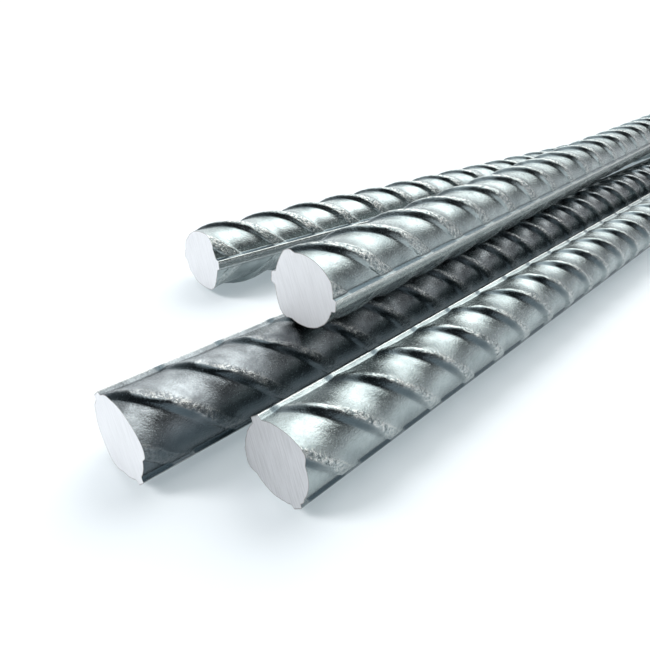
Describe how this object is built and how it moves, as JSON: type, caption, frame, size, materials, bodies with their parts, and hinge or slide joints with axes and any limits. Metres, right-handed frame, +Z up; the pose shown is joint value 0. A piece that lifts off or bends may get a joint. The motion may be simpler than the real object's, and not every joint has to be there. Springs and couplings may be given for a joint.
{
  "type": "rebar bundle",
  "caption": "Loose bundle of heavy ribbed steel reinforcing bars with sawn ends, most side by side on the floor and one lying across the top.",
  "frame": {"origin": "middle of the bundle's underside, on the floor it lies on", "axes": "+X along the left bar, from its sawn near end to its far end, +Y towards the back bar, +Z up"},
  "size_m": [1.0978, 0.1664, 0.0643],
  "materials": {
    "rebar_steel": "hot-rolled blue-grey mill scale, satin, with pale matte sawn ends"
  },
  "bodies": {
    "root": {"left_bar": "rebar_steel", "right_bar": "rebar_steel", "back_bar": "rebar_steel", "top_bar": "rebar_steel"}
  },
  "joints": []
}
